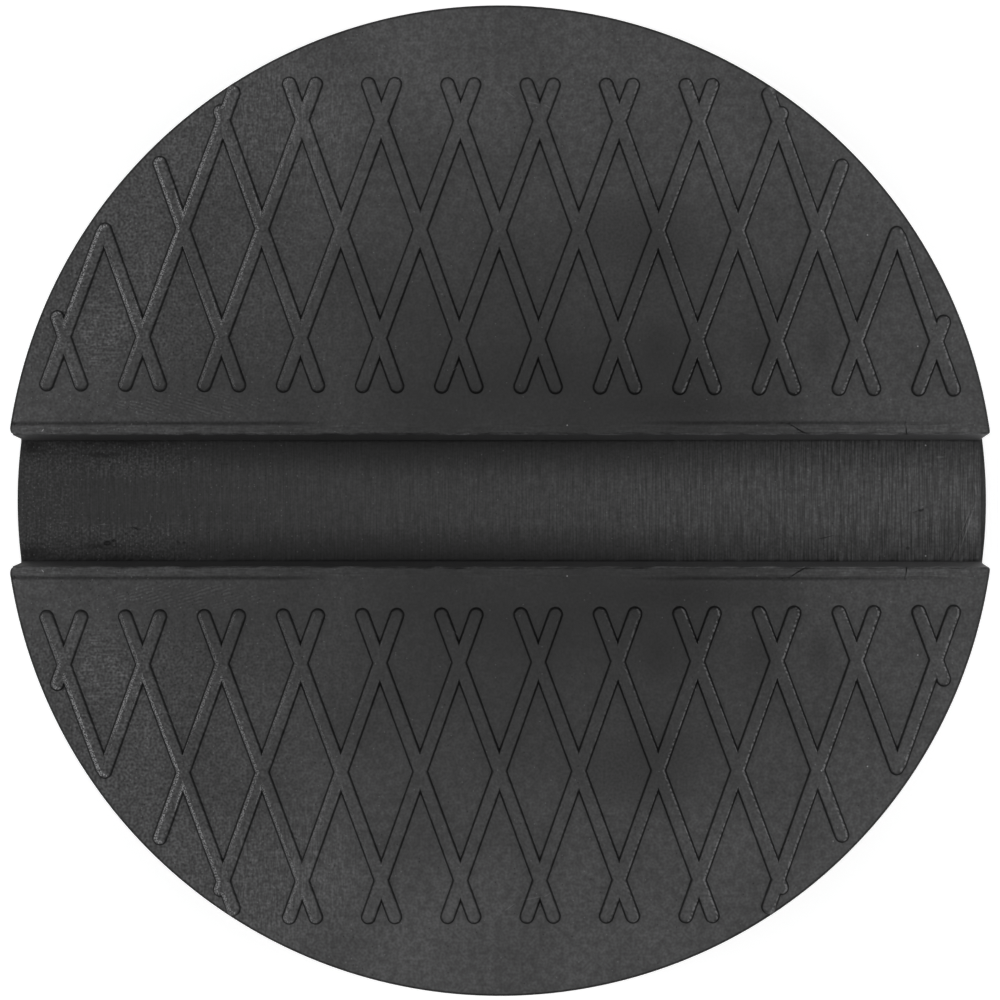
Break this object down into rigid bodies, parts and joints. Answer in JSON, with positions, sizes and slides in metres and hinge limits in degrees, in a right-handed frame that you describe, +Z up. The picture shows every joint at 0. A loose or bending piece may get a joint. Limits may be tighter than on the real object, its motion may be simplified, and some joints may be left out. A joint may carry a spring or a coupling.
{
  "type": "slotted rubber jack pad",
  "caption": "Round black rubber block with a seam slot across its top and raised crossed ribs for grip, placed on a trolley jack's saddle to lift a car by its sill without marking it.",
  "frame": {"origin": "middle of the flat underside", "axes": "+Z up through the thickness, +X along the slot, +Y across it"},
  "size_m": [0.125, 0.125, 0.025],
  "materials": {
    "rubber": "matt black moulded rubber"
  },
  "bodies": {
    "root": {"jack_pad": "rubber"}
  },
  "joints": []
}
